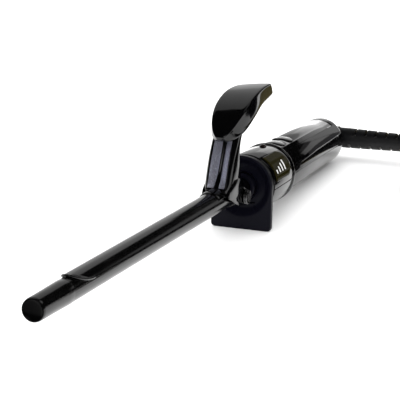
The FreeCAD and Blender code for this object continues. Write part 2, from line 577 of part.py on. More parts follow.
def rounded_path(route):
    """Straight runs joined by tangent arcs, each as large as its two runs allow."""
    edges = []
    radii = []
    start = route[0]
    for before, corner, after in zip(route, route[1:], route[2:]):
        inward = (before - corner).normalize()
        outward = (after - corner).normalize()
        half_turn = (math.pi - inward.getAngle(outward)) / 2
        setback = 0.45 * min((before - corner).Length, (after - corner).Length)
        radius = setback / math.tan(half_turn)
        radii.append(round(radius, 1))
        arc_start = corner + inward * setback
        arc_end = corner + outward * setback
        middle_way = (inward + outward).normalize()
        middle = corner + middle_way * (radius / math.cos(half_turn) - radius)
        edges.append(Part.LineSegment(start, arc_start).toShape())
        edges.append(Part.Arc(arc_start, middle, arc_end).toShape())
        start = arc_end
    edges.append(Part.LineSegment(start, route[-1]).toShape())
    return Part.Wire(edges), radii


def cord_tube(node, route):
    """A round cord along a route, checked against its section times its length."""
    path, radii = rounded_path(route)
    cord_radius = number("cord_radius")
    ring = Part.Wire(Part.makeCircle(cord_radius, route[0], route[1] - route[0]))
    shape = path.makePipeShell([ring], True, True)
    expected = math.pi * cord_radius ** 2 * path.Length
    if abs(shape.Volume / expected - 1) > 0.02:
        raise SystemExit(f"{node} has volume {shape.Volume:.0f}, not {expected:.0f}")
    print(node, "length", round(path.Length, 1), "radii", radii)
    thing = doc.addObject("Part::Feature", node)
    thing.Shape = shape
    return keep(node, thing, Placement())


# The cord leaves the strain relief level, sinks to the table and joins the outer turn of the coil.
cord_exit = RESTING.multVec(Vector(-number("elbow_station"), number("relief_end"), 0))
COIL_CENTRE = Vector(cord_exit.x - 1.5 + number("turn_radius + (coil_columns - 1) * cord_radius"),
                     number("coil_centre_aside"), number("coil_lift"))
cord_tube("mains_cord", [
    cord_exit + Vector(0, 0.1, 0), cord_exit + Vector(0, 10, -0.4), cord_exit + Vector(-0.5, 20, -3.6),
    cord_exit + Vector(-1.2, 33, -6.9)])

half_width = "coil_columns * cord_radius"
coil_height = "2 * coil_rows * cord_radius"
coil = turned("coil_ring", [
    ("2", f"turn_radius - {half_width}"), (f"{coil_height} - 2", f"turn_radius - {half_width}"),
    (coil_height, f"turn_radius - {half_width} + 2"), (coil_height, f"turn_radius + {half_width} - 2"),
    (f"{coil_height} - 2", f"turn_radius + {half_width}"), ("2", f"turn_radius + {half_width}"),
    ("0", f"turn_radius + {half_width} - 2"), ("0", f"turn_radius - {half_width} + 2")])
UPRIGHT = Rotation(Vector(0, 1, 0), -90)
keep("cord_coil", coil, Placement(COIL_CENTRE, UPRIGHT))

tie_angle = math.degrees(number("tie_width / turn_radius"))


def tie_block(name, proud):
    """A sector of the coil's section, grown by a margin."""
    low = f"turn_radius - {half_width} - {proud}"
    high = f"turn_radius + {half_width} + {proud}"
    top = f"{coil_height} + {proud}"
    return turned(name, [(f"-{proud}", low), (top, low), (top, high), (f"-{proud}", high)], tie_angle)


TIE_PLACE = Placement(COIL_CENTRE, Rotation(Vector(0, 0, 1), -115).multiply(UPRIGHT))
keep("coil_tie", joined("coil_tie", "Cut", [
    tie_block("tie_outside", "0.75"), tie_block("tie_inside", "0.02")]), TIE_PLACE)

# The tail leaves the top of the coil and comes down to the plug, which lies on the table beside it.
plug_rear = COIL_CENTRE + Vector(62.5, 25.2, 0)
plug_rear.z = number("plug_axis_height")
cord_tube("cord_tail", [
    COIL_CENTRE + Vector(6, 39, 20.6), COIL_CENTRE + Vector(18, 39.4, 17.9),
    COIL_CENTRE + Vector(29.5, 37.6, 12), COIL_CENTRE + Vector(40.5, 33, 7.6),
    plug_rear + Vector(-11, 3, 0), plug_rear])
PLUG_PLACE = Placement(plug_rear, Rotation(Vector(0, 0, 1), -number("plug_turn")))
plug = padded("plug_blank", "XY_Plane", [
    ("0.05", "-4"), ("10", "-5.2", "-9"), ("18", "-plug_width / 2 + 1.5"),
    ("plug_length - 2", "-plug_width / 2"),
    ("plug_length", "-plug_width / 2 + 2"), ("plug_length", "plug_width / 2 - 2"),
    ("plug_length - 2", "plug_width / 2"), ("18", "plug_width / 2 - 1.5", "-9"), ("10", "5.2"),
    ("0.05", "4")],
    "plug_height", symmetric=True)
pins = [primitive("Cylinder", f"plug_pin_{index}", ("plug_length + 0.02", f"{side} * pin_spacing / 2", 0),
                  ALONG_X, Radius="pin_radius", Height="pin_length") for index, side in enumerate((-1, 1))]
keep("plug_body", plug, PLUG_PLACE)
keep("plug_pins", joined("plug_pins", "Compound", pins), PLUG_PLACE)

# -------------------------------------------------------------------------------- check and write

doc.recompute()
faults = [thing.Name for thing in doc.Objects if "Invalid" in thing.State or "Error" in thing.State]
for node, thing in PIECES.items():
    if thing.Shape.isNull() or not thing.Shape.isValid() or not thing.Shape.Solids:
        faults.append(node)
if faults:
    raise SystemExit("failed: " + ", ".join(faults))

os.makedirs("parts", exist_ok=True)
for node, thing in PIECES.items():
    thing.Shape.exportStep(f"parts/{node}.step")
    print(f"{node:18s} solids {len(thing.Shape.Solids)}  volume {thing.Shape.Volume:9.1f}")
print(len(PIECES), "nodes")
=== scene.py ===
# %% [markdown]
# # A slim curling iron with a spring clip
# The iron lies on the foot of its heat guard and on the underside of its handle. The frame is loaded
# first: it holds every working part at its true size, and the looks are built around it.

# %% load the frame
import json
import math

import bpy
from mathutils import Matrix, Vector


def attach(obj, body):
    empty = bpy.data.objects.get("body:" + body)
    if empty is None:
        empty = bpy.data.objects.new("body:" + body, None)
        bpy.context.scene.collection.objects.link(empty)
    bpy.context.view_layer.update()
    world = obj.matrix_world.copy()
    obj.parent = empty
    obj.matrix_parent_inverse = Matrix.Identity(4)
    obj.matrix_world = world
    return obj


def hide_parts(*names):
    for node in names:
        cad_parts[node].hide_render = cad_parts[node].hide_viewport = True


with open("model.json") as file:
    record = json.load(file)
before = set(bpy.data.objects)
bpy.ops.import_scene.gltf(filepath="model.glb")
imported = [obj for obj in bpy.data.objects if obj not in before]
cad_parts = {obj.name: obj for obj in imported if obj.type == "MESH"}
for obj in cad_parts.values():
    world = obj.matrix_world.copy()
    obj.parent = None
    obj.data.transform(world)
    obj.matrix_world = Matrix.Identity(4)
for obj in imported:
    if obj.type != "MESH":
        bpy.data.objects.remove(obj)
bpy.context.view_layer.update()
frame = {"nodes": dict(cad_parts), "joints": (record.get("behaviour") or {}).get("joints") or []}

nodes = frame["nodes"]

# %% [markdown]
# The iron rests with its nose a little up, so a straight tube would be awkward to draw in place. Every
# new piece is drawn along the X axis, in millimetres from the front face of the guard, and then settled
# into the tipped pose. The swivel joint of the cord lies on the handle's centre line, so its place and
# its axis give that pose without a measured angle.

# %% the iron's own line
MM = 0.001
SWIVEL_STATION = -131 * MM
joints = {joint["name"]: joint for joint in frame["joints"]}
barrel_way = Vector(joints["cord_swivel"]["axis"])
if barrel_way.x < 0:
    barrel_way.negate()
guard_face = Vector(joints["cord_swivel"]["pos_m"]) - barrel_way * SWIVEL_STATION
NOSE_UP = math.atan2(barrel_way.z, barrel_way.x)
RESTING = Matrix.Translation(guard_face) @ Matrix.Rotation(-NOSE_UP, 4, "Y")
print("nose up", round(math.degrees(NOSE_UP), 2), "degrees, guard face at", guard_face)

# %% [markdown]
# A camera with a long lens stands off the tip's side and looks back along the barrel, so the tip comes
# towards the viewer and the handle runs away behind the guard. A long lens keeps both in proportion.

# %% camera
camera = bpy.data.objects.new("camera", bpy.data.cameras.new("camera"))
bpy.context.scene.collection.objects.link(camera)
bpy.context.scene.camera = camera
camera.data.sensor_width = 36
camera.data.lens = 139.9
camera.data.clip_start = 0.01
camera.location = (0.64778, 0.23105, 0.21857)
looked_at = Vector((0.067318, 0.00528, 0.032584))
camera.rotation_euler = (looked_at - camera.location).to_track_quat("-Z", "Y").to_euler()
print("camera is", round((looked_at - camera.location).length, 3), "m from what it looks at")

# %% [markdown]
# The mains lead, 6 mm thick, leaves the strain relief level, sinks to the table and goes into a neat coil
# held by a strap, because an iron that lies on a shelf has its spare lead put away. The coil lies as it is
# wound: inwards on the table, up over the inner turn, outwards on top, and again, four rows high.

# %% the coil's measures
CORD_RADIUS = 3 * MM
TURN_PITCH = 2 * CORD_RADIUS
OUTER_TURN = 38.9 * MM
INNER_TURN = 27 * MM
ROWS = 4
POINTS_PER_TURN = 24
CLIMB = 5 / 12
cord_exit = Vector((-0.136857, 0.054, 0.011271))
coil_centre = Vector((-0.099357, 0.0935, 0.0008))
plug_rear = coil_centre + Vector((0.0625, 0.0252, 0.0064))
print("turns reach from", INNER_TURN, "to", OUTER_TURN, "m, in", ROWS, "rows")

# %% [markdown]
# The route starts straight out of the strain relief and sinks to the table. The coil's turns could be
# placed by hand, but a loop keeps them evenly a cord's thickness apart. The last points come down from
# the coil's top to the plug.

# %% the cord's route
route = [cord_exit + Vector(step) for step in (
    (0, 0.0001, 0), (0, 0.01, -0.0004), (-0.0005, 0.02, -0.0036), (-0.0012, 0.033, -0.0069))]
row_turns = (OUTER_TURN - INNER_TURN) / TURN_PITCH
coil_turns = ROWS * row_turns + (ROWS - 1) * CLIMB
step_angle = 2 * math.pi / POINTS_PER_TURN
for index in range(1, round(coil_turns * POINTS_PER_TURN)):
    row, in_row = divmod(index / POINTS_PER_TURN, row_turns + CLIMB)
    share = min(in_row / row_turns, 1)
    reach = OUTER_TURN + (INNER_TURN - OUTER_TURN) * (share if row % 2 == 0 else 1 - share)
    climbed = max(in_row - row_turns, 0) / CLIMB
    height = CORD_RADIUS + TURN_PITCH * (row + climbed * (2 - climbed))
    angle = math.pi - index * step_angle
    outside = reach / math.cos(step_angle / 2)
    route.append(coil_centre + Vector((outside * math.cos(angle), outside * math.sin(angle), height)))
route += [coil_centre + Vector(step) for step in (
    (0.006, 0.039, 0.0208), (0.018, 0.0391, 0.0181), (0.0295, 0.0376, 0.012), (0.0405, 0.033, 0.0076),
    (0.0515, 0.0282, 0.0064))]
route.append(plug_rear)
print("the route has", len(route), "points and", round(coil_turns, 2), "turns")

# %% [markdown]
# The lead itself is a curve with a round bevel, whose thickness is set on its points. The bevel is a hair
# slimmer than the cord, which keeps the outermost turn inside the frame's box. A NURBS spline takes the
# route's points as control points, and rounds the corners between them by itself.

# %% mains lead
BEVEL_SHARE = 0.99
lead_line = bpy.data.curves.new("mains_lead", "CURVE")
lead_line.dimensions = "3D"
lead_line.bevel_depth = BEVEL_SHARE
lead_line.bevel_resolution = 5
lead_line.resolution_u = 4
spline = lead_line.splines.new("NURBS")
spline.points.add(len(route) - 1)
for point, place in zip(spline.points, route):
    point.co = (*place, 1)
    point.radius = CORD_RADIUS
spline.order_u = 3
spline.use_endpoint_u = True
mains_lead = bpy.data.objects.new("mains_lead", lead_line)
bpy.context.scene.collection.objects.link(mains_lead)
lead_length = sum((there - here).length for here, there in zip(route, route[1:]))
print("the runs between its points add up to", round(lead_length, 3), "m")

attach(mains_lead, "cord_set")
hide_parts("mains_cord", "cord_coil", "cord_tail")

# %% [markdown]
# The thumb lever is one glossy moulding. Its thumb rest is a thick leaf that starts square at the rear
# and curls down to a round nose, so it is lofted from sections across it: each has drafted sides, small
# round edges and a little crown. Towards the nose the sides flare out to the underside, and towards the
# rear the leaf tilts a little to one side. It could be sculpted as well, but sections keep each width and
# height under control.

# %% sections of the thumb rest
THUMB_REST = [  # top (x, z), bottom (x, z), half width
    ((-16.9, 46.1), (-20.8, 40.6), 7.4), ((-15.4, 46.3), (-19.2, 40.2), 7.6),
    ((-10.0, 46.3), (-13.4, 39.5), 7.8), ((-3.5, 45.9), (-6.3, 38.7), 8.0),
    ((3.8, 44.9), (1.5, 37.6), 8.1), ((10.8, 43.0), (8.1, 35.6), 8.1),
    ((17.0, 40.6), (13.8, 33.2), 7.9), ((22.3, 37.4), (18.2, 30.4), 7.2),
    ((26.7, 33.6), (21.8, 28.3), 5.9), ((29.4, 30.5), (24.6, 26.9), 4.3), ((30.7, 28.6), (27.4, 26.3), 2.5)]
NOSE_FLARE = 1.7
REAR_TILT = 0.1
REAR_DROP = 0.38


def rest_section(top, bottom, half_width, shrink=0.0):
    """One section of the thumb rest, from the middle of its underside round to the start."""
    base = Vector((bottom[0], 0, bottom[1]))
    up = Vector((top[0], 0, top[1])) - base
    height = up.length
    up.normalize()
    round_off = min(1, half_width / 4)
    flare = NOSE_FLARE * min(max((top[0] + 5) / 17, 0), 1)
    side = [(0, 0), (0, 1.8), (0.15, 0.7 - flare), (0.7, 0.15 - flare), (height * 0.5, 0.1 - flare / 2),
            (height - 0.9, 0.15), (height - 0.3, 0.28), (height + 0.02, 0.7), (height + 0.1, 2.6),
            (height + 0.25, 0)]
    half = []
    for index, (rise, inset) in enumerate(side):
        aside = 0 if index in (0, len(side) - 1) else half_width - inset * round_off
        middle = height / 2
        rise = middle + (rise - middle) * (1 - shrink)
        half.append(base + up * rise + Vector((0, aside * (1 - shrink), 0)))
    ring = half + [Vector((point.x, -point.y, point.z)) for point in half[-2:0:-1]]
    twist = min(max((4 - top[0]) / 20, 0), 1)
    return [point + Vector((0, 0, twist * (REAR_TILT * point.y - REAR_DROP))) for point in ring]


rest_rows = [rest_section(*THUMB_REST[0], shrink=0.12)] + [rest_section(*row) for row in THUMB_REST]
rest_rows.append([point + Vector((0.5, 0, -0.6)) for point in rest_section(*THUMB_REST[-1], shrink=0.5)])
print("the rest has", len(rest_rows), "sections of", len(rest_rows[0]), "points")

# %% [markdown]
# By hand, a loft is a grid whose rows are moved to the sections, with its long edges merged and its ends
# filled. The helper does just that, and closes the skin so that all its faces point outwards.

# %% lofting the thumb rest
def close_up():
    """In edit mode: merge doubles, close the ends and turn all faces outwards."""
    bpy.ops.mesh.select_all(action="SELECT")
    bpy.ops.mesh.remove_doubles(threshold=0.00001)
    bpy.ops.mesh.fill_holes(sides=0)
    bpy.ops.mesh.normals_make_consistent(inside=False)
    bpy.ops.object.mode_set(mode="OBJECT")


def wrapped(name, sections, closed=True):
    """A grid whose rows become sections; closed sections are joined into a skin with two ends."""
    across = len(sections[0]) - (0 if closed else 1)
    along = len(sections) - 1
    bpy.ops.object.select_all(action="DESELECT")
    bpy.ops.mesh.primitive_grid_add(x_subdivisions=across, y_subdivisions=along, size=1)
    piece = bpy.context.object
    piece.name = name
    for vertex in piece.data.vertices:
        column = round((vertex.co.x + 0.5) * across) % len(sections[0])
        vertex.co = Vector(sections[round((vertex.co.y + 0.5) * along)][column]) * MM
    if closed:
        bpy.ops.object.mode_set(mode="EDIT")
        close_up()
    return piece


thumb_rest = wrapped("thumb_rest", rest_rows)
print("as lofted it has", len(thumb_rest.data.polygons), "faces")

# %% [markdown]
# A subdivision surface turns the loft into one clean curve. Like every modifier here it is applied at
# once, so the mesh itself has the finished shape.

# %% smoothing the thumb rest
def only(piece):
    """Select one piece and nothing else."""
    bpy.ops.object.select_all(action="DESELECT")
    piece.select_set(True)
    bpy.context.view_layer.objects.active = piece


def apply_modifier(piece, kind, **settings):
    """Add a modifier, set it and apply it."""
    only(piece)
    modifier = piece.modifiers.new(kind.lower(), kind)
    for key, value in settings.items():
        setattr(modifier, key, value)
    bpy.ops.object.modifier_apply(modifier=modifier.name)
    return piece


def smoothed(piece, levels):
    """Subdivide a piece into a smooth surface."""
    return apply_modifier(piece, "SUBSURF", levels=levels, render_levels=levels)


smoothed(thumb_rest, 3)
print("smoothed it has", len(thumb_rest.data.polygons), "faces")

# %% [markdown]
# The stem leans back from the barrel to the rest. It is a gutter in section: a round back, convex sides
# and two walls in front with a hollow between them, which fades out at the foot and under the nose.

# %% sections of the stem
STEM = [  # rear (x, z), front (x, z), depth of the hollow
    ((14.6, 3.4), (34.6, 3.6), 0.0), ((14.4, 6.2), (34.1, 6.4), 0.3), ((15.0, 9.6), (33.1, 9.4), 2.6),
    ((16.3, 13.4), (31.8, 13.6), 3.4), ((17.6, 17.4), (30.1, 18.2), 3.5), ((18.3, 21.4), (27.9, 22.6), 3.4),
    ((17.8, 25.2), (25.4, 26.8), 2.9), ((15.6, 29.2), (23.6, 29.8), 1.4), ((13.4, 33.0), (21.0, 33.6), 0.0)]
STEM_HALF_WIDTH = 6.55
HOLLOW_HALF_WIDTH = 4.3
TONGUE_TOP = 5.6


def gutter(depth, front):
    """The hollow's half profile: how far forward of the back, and how far aside."""
    return [(front, HOLLOW_HALF_WIDTH + 0.2), (front - 0.14 * depth, HOLLOW_HALF_WIDTH - 0.2),
            (front - 0.4 * depth, HOLLOW_HALF_WIDTH - 0.9), (front - 0.66 * depth, HOLLOW_HALF_WIDTH - 1.9),
            (front - 0.92 * depth, HOLLOW_HALF_WIDTH - 3.1), (front - 1.16 * depth, 0)]


def stem_points(rear, front, half):
    """Half-section points (forward, aside) placed in the iron's frame."""
    base = Vector((rear[0], 0, rear[1]))
    forward = (Vector((front[0], 0, front[1])) - base).normalized()
    return [base + forward * along + Vector((0, aside, 0)) for along, aside in half]


def stem_section(rear, front, depth):
    length = (Vector(front) - Vector(rear)).length
    half = [(0, 0), (0.15, 3.0), (0.8, 4.8), (2.0, 6.0), (length * 0.4, STEM_HALF_WIDTH),
            (length - 3.4, STEM_HALF_WIDTH - 0.15), (length - 1.8, STEM_HALF_WIDTH - 0.6),
            (length - 0.6, STEM_HALF_WIDTH - 1.3), (length - 0.05, STEM_HALF_WIDTH - 1.8)]
    half += gutter(depth, length)
    placed = stem_points(rear, front, half)
    return placed + [Vector((point.x, -point.y, point.z)) for point in placed[-2:0:-1]]


stem_rows = [stem_section(*row) for row in STEM]
for point in stem_rows[0]:
    point.z = math.sqrt(max(TONGUE_TOP ** 2 - point.y ** 2, 1.0))
print("the stem has", len(stem_rows), "sections of", len(stem_rows[0]), "points")

# %% [markdown]
# The stem could be a box with a groove cut into it, but then its walls would have one thickness and hard
# edges. Lofted and smoothed like the rest, it swells and fades as a moulding does.

# %% stem
stem = smoothed(wrapped("stem", stem_rows), 3)
print("stem", len(stem.data.polygons), "faces")

# %% [markdown]
# Below the stem a thin skirt on each side runs past the tube to the hinge ear. A skirt is flat, so its
# side view is drawn as a ring of points, filled, and pushed out to its thickness. A narrow bevel rounds
# its edges, which is what catches the light on a real moulding.

# %% skirts
def add_outline(name, corners):
    """A ring whose points are moved to an outline given in millimetres."""
    bpy.ops.object.select_all(action="DESELECT")
    bpy.ops.mesh.primitive_circle_add(vertices=len(corners), radius=MM)
    piece = bpy.context.object
    piece.name = name
    for vertex, corner in zip(piece.data.vertices, corners):
        vertex.co = Vector(corner) * MM
    return piece


def prism(name, corners, way):
    """A flat outline pushed along a way, both in millimetres."""
    piece = add_outline(name, corners)
    bpy.ops.object.mode_set(mode="EDIT")
    bpy.ops.mesh.select_all(action="SELECT")
    bpy.ops.mesh.edge_face_add()
    bpy.ops.mesh.extrude_region_move(TRANSFORM_OT_translate={"value": Vector(way) * MM})
    close_up()
    return piece


def with_edges(piece, width, segments=3, least_angle=33):
    """Round every sharp edge by a width in millimetres."""
    return apply_modifier(piece, "BEVEL", width=width * MM, segments=segments, limit_method="ANGLE",
                          angle_limit=math.radians(least_angle), harden_normals=False)


EAR = (13, -1, 4.05)
ear_round = [(EAR[0] + EAR[2] * math.cos(math.radians(turn)), EAR[1] + EAR[2] * math.sin(math.radians(turn)))
             for turn in range(290, 89, -20)]
SKIRT = [(33.0, 5.6), (34.3, 3.4), (33.4, 1.8), (30.4, 0.8), (25, -1.8), (19.8, -4.0)] + ear_round + [
    (14.6, 4.6), (17.4, 7.6), (22, 9.5), (28, 9.5)]
SKIRT_ASIDE = 5.72
SKIRT_THICKNESS = 0.8
skirts = []
for side in (1, -1):
    skirt = prism("skirt", [(x, side * SKIRT_ASIDE, z) for x, z in SKIRT], (0, side * SKIRT_THICKNESS, 0))
    skirts.append(with_edges(skirt, 0.3))
print("each skirt has", len(skirts[0].data.polygons), "faces")

# %% [markdown]
# A low half ring hugs the tongue in front of the stem. It is round about the barrel's line, so it is spun:
# an outline of stations and radii is turned part of the way round. Collar, handle and tip are made in the
# same way.

# %% foot ring
def spun(name, outline, start=0, sweep=360, steps=96):
    """An outline of stations and radii, spun about the barrel's line; 0 degrees is +Y, 90 is up."""
    at = math.radians(start)
    piece = add_outline(name, [(x, r * math.cos(at), r * math.sin(at)) for x, r in outline])
    bpy.ops.object.mode_set(mode="EDIT")
    bpy.ops.mesh.select_all(action="SELECT")
    bpy.ops.mesh.spin(steps=steps, angle=-math.radians(sweep), center=(0, 0, 0), axis=(1, 0, 0))
    close_up()
    return piece


foot_ring = spun("foot_ring", [(30, 5.58), (41.6, 5.58), (41.9, 5.85), (40.6, 6.2), (36, 6.42), (30, 6.45)],
                 start=32, sweep=116, steps=40)
with_edges(foot_ring, 0.15)
print("the foot ring has", len(foot_ring.data.polygons), "faces")

# %% [markdown]
# Rest, stem, skirts and ring are one moulding, so they are joined. A finished piece is then shaded, moved
# into the resting pose with its place kept in its mesh, and tied to the body that it moves with.

# %% the whole lever
def joined(name, pieces):
    """Join meshes that are one moulding."""
    only(pieces[0])
    for piece in pieces[1:]:
        piece.select_set(True)
    bpy.ops.object.join()
    pieces[0].name = name
    return pieces[0]


finished = []


def settled(piece, body, stands_for, smooth_angle=40):
    """Shade a piece, move it into the resting pose and let it ride on its body."""
    only(piece)
    bpy.ops.object.shade_smooth_by_angle(angle=math.radians(smooth_angle))
    piece.matrix_world = RESTING @ piece.matrix_world
    bpy.ops.object.transform_apply(location=True, rotation=True, scale=True)
    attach(piece, body)
    if stands_for:
        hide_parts(*stands_for)
    finished.append(piece)
    print(piece.name, "has", len(piece.data.polygons), "faces")
    return piece


settled(joined("thumb_lever", [thumb_rest, stem, *skirts, foot_ring]), "clip", ["clip_lever"])

# %% [markdown]
# The hollow is lined with a satin plate full of fine bright specks. It is the same gutter curve, drawn a
# hair in front of the moulding and given a small thickness. Along the middle it dips behind the moulding,
# so that a dark groove divides it in two. It could be paint alone, but a plate has an edge of its own.

# %% gutter plate
LINER_PROUD = 0.07
MIDDLE_GROOVE = 1.9
liner_rows = []
for rear, front, depth in STEM[1:-1]:
    length = (Vector(front) - Vector(rear)).length
    half = [(along + LINER_PROUD, aside - LINER_PROUD) for along, aside in gutter(depth, length)[1:-1]]
    half.append((half[-1][0] - MIDDLE_GROOVE, 0))
    placed = stem_points(rear, front, half)
    liner_rows.append(placed + [Vector((point.x, -point.y, point.z)) for point in placed[-2::-1]])
gutter_plate = smoothed(wrapped("gutter_plate", liner_rows, closed=False), 2)
apply_modifier(gutter_plate, "SOLIDIFY", thickness=0.25 * MM, offset=0)
settled(gutter_plate, "clip", ["lever_inlay"])

# %% [markdown]
# The tongue's free end is rolled into a smooth lip, so that it can't catch hair. The lip is a thin tube:
# a row of small rings that follows the rounded end from one side over the top to the other. It is a piece
# of its own, because the tongue keeps the mesh that it has in the frame.

# %% tongue lip
TONGUE_HALF_ANGLE = 66
LIP_RADIUS = 0.52
LIP_LINE_RADIUS = 5.3
LIP_SIDES_AT = 169.2
LIP_REACH = 12.9
LIP_STEPS = 48
LIP_CORNERS = 12


def lip_point(share):
    """A point of the tongue's rounded end, from -1 at one side to 1 at the other."""
    angle = math.radians(90 - TONGUE_HALF_ANGLE * share)
    station = LIP_SIDES_AT + LIP_REACH * math.sqrt(max(1 - share ** 2, 0))
    return Vector((station, LIP_LINE_RADIUS * math.cos(angle), LIP_LINE_RADIUS * math.sin(angle)))


lip_rings = []
for step in range(LIP_STEPS + 1):
    share = math.sin(math.radians(-88 + 176 * step / LIP_STEPS))
    centre = lip_point(share)
    along = (lip_point(share + 0.0005) - lip_point(share - 0.0005)).normalized()
    outward = Vector((0, centre.y, centre.z)).normalized()
    forward = along.cross(outward)
    lip_rings.append([centre + LIP_RADIUS * (outward * math.cos(turn) + forward * math.sin(turn))
                      for turn in [2 * math.pi * corner / LIP_CORNERS for corner in range(LIP_CORNERS)]])
settled(wrapped("tongue_lip", lip_rings), "clip", [])

# %% [markdown]
# The guard keeps fingers off the barrel and is the stand as well: a plate with a round dish in front, whose
# foot is trimmed to the table. The plate's edge is drawn first: half a circle, two straight sides and two
# small round corners.

# %% the guard's edge
GUARD_HALF_WIDTH = 14.6
FOOT_DEPTH = 19.7
FOOT_CORNER = 1.6
edge_round = [math.radians(180 * step / 48) for step in range(49)]
guard_edge = [(GUARD_HALF_WIDTH * math.cos(turn), GUARD_HALF_WIDTH * math.sin(turn)) for turn in edge_round]
side_steps = [-step * (FOOT_DEPTH - FOOT_CORNER) / 8 for step in range(1, 9)]
corner_round = [math.radians(90 * step / 4) for step in range(1, 5)]
corner = [(GUARD_HALF_WIDTH - FOOT_CORNER * (1 - math.cos(turn)),
           -FOOT_DEPTH + FOOT_CORNER * (1 - math.sin(turn))) for turn in corner_round]
foot_steps = [step * (GUARD_HALF_WIDTH - FOOT_CORNER) / 6 for step in range(5, -1, -1)]
one_side = [(GUARD_HALF_WIDTH, z) for z in side_steps] + corner + [(y, -FOOT_DEPTH) for y in foot_steps]
guard_edge += [(-y, z) for y, z in one_side] + [(y, z) for y, z in one_side[-2::-1]]
print("the guard's edge has", len(guard_edge), "points")

# %% [markdown]
# The plate could be pushed out of that edge and the dish cut into it, but where a cut crosses an edge a
# bevel breaks. Rings from the bore to the rim and back keep the skin in clean rows, so the bevel runs
# evenly round every edge.

# %% guard
GUARD_THICKNESS = 5.0
RIM_THICKNESS = 3
GUARD_BORE = 6.6


def guard_ring(station, radius=None):
    """A ring of the guard's skin: a circle, or the plate's edge with its foot on the table."""
    points = []
    for y, z in guard_edge:
        if radius:
            reach = math.hypot(y, z)
            y, z = y / reach * radius, z / reach * radius
        elif z < -FOOT_DEPTH + 0.01:
            z = -FOOT_DEPTH - (station + GUARD_THICKNESS / 2) * math.tan(NOSE_UP)
        points.append((station, y, z))
    return points


dish = [guard_ring(-RIM_THICKNESS, 10.4), guard_ring(-2.5, 11.3), guard_ring(-0.6, 13.0), guard_ring(0, 13.6)]
rim = [guard_ring(0), guard_ring(-RIM_THICKNESS), guard_ring(-GUARD_THICKNESS, 12.4)]
behind = guard_ring(-GUARD_THICKNESS, GUARD_BORE)
guard_rows = [behind, guard_ring(-RIM_THICKNESS, GUARD_BORE)] + dish + rim + [behind]
guard = with_edges(wrapped("hand_guard", guard_rows), 0.45, least_angle=28)
settled(guard, "iron", ["guard_plate"])

# %% [markdown]
# Collar, bead and handle are polished shells. Their gloss shows every seam, so the shells are separate
# solids with softened edges: light catches each edge, and the gap between them stays dark. Each shell of
# the collar is spun to its own angle, which leaves the seam open without a cut.

# %% collar
COLLAR_RADIUS = 14
collar = [(-34, 11.4), (-10, 11.4), (-10, 6.8), (-7, 6.8), (-7, COLLAR_RADIUS), (-34, COLLAR_RADIUS)]
collar_top = with_edges(spun("collar_upper_shell", collar, start=-4.5, sweep=189, steps=84), 0.28)
settled(collar_top, "iron", ["collar_top"])
collar_bottom = with_edges(spun("collar_lower_shell", collar, start=185, sweep=170, steps=76), 0.28)
settled(collar_bottom, "iron", ["collar_bottom"])

# %% [markdown]
# The bead is a rounded ring between collar and handle. A torus would do from afar, but this ring has a
# flat bore, so its outline is drawn and spun.

# %% bead
bead_middle = -35.75
bead = [(-34.1, 10.4), (-37.4, 10.4)] + [
    (bead_middle + 1.72 * math.cos(math.radians(turn)), 13.1 + 1.25 * math.sin(math.radians(turn)))
    for turn in range(180, -1, -20)]
settled(spun("bead", bead, steps=128), "iron", ["bead_ring"])

# %% [markdown]
# A dark panel is let into the collar's near side, and its brown tone is a painted reflection. It has a square
# front and a rounded rear end, and it follows the collar, so it is a grid wrapped round the same radius and
# made a thin plate. A polished frame of the same outline, a little larger and lower, gives the panel its
# bright edge.

# %% label
LABEL_MIDDLE = 35
LABEL_HALF = 6.55
LABEL_FRONT = -9.4
LABEL_SHOULDER = -26.3
FRAME_BEYOND = 0.4
PANEL_PROUD = 0.05


def on_collar(station, aside, radius):
    """A point on the collar, by its distance around it from the label's middle line."""
    angle = math.radians(LABEL_MIDDLE) + aside / COLLAR_RADIUS
    return (station, radius * math.cos(angle), radius * math.sin(angle))


def label_rear(aside):
    """The station of the label's rounded rear end."""
    return LABEL_SHOULDER - 6 * math.sqrt(max(1 - (aside / 6.9) ** 2, 0))


def patch(name, rows, thickness):
    """A thin plate that follows the collar."""
    piece = wrapped(name, rows, closed=False)
    return apply_modifier(piece, "SOLIDIFY", thickness=thickness * MM, offset=0)


def label_rows(half, beyond, radius):
    """Rows of a panel with a rounded rear end; beyond is how far it is grown there."""
    rows = []
    for step in range(-12, 13):
        aside = half * math.sin(math.radians(90 * step / 12))
        length = label_rear(aside * LABEL_HALF / half) - beyond - LABEL_FRONT
        rows.append([on_collar(LABEL_FRONT + length * share / 10, aside, radius) for share in range(11)])
    return rows


frame_rows = label_rows(LABEL_HALF + FRAME_BEYOND, FRAME_BEYOND, COLLAR_RADIUS)
frame_plate = with_edges(patch("label_frame", frame_rows, 0.2), 0.09, least_angle=50)
settled(frame_plate, "iron", [])
plate_rows = label_rows(LABEL_HALF, 0, COLLAR_RADIUS + PANEL_PROUD)
label = with_edges(patch("label_plate", plate_rows, 0.2), 0.05, least_angle=50)
settled(label, "iron", ["label_panel"])

# %% [markdown]
# A maker would print a mark on this panel. The panel here only carries a plain heat scale: four bars
# that grow towards the hotter end. They are thin plates like the panel, so they follow its curve.

# %% heat scale
BARS = 4
BAR_PITCH = 3.7
BAR_WIDTH = 1.3
FIRST_BAR_AT = -12.6
BAR_FOOT = -3.4
BAR_RADIUS = COLLAR_RADIUS + 0.19
bars = []
for index in range(BARS):
    station = FIRST_BAR_AT - index * BAR_PITCH
    tall = 1.8 + index * 1.05
    rows = [[on_collar(station - share * BAR_WIDTH / 2, BAR_FOOT + tall * step / 2, BAR_RADIUS)
             for share in range(3)] for step in range(3)]
    bars.append(patch("bar", rows, 0.05))
settled(joined("heat_scale", bars), "iron", [])

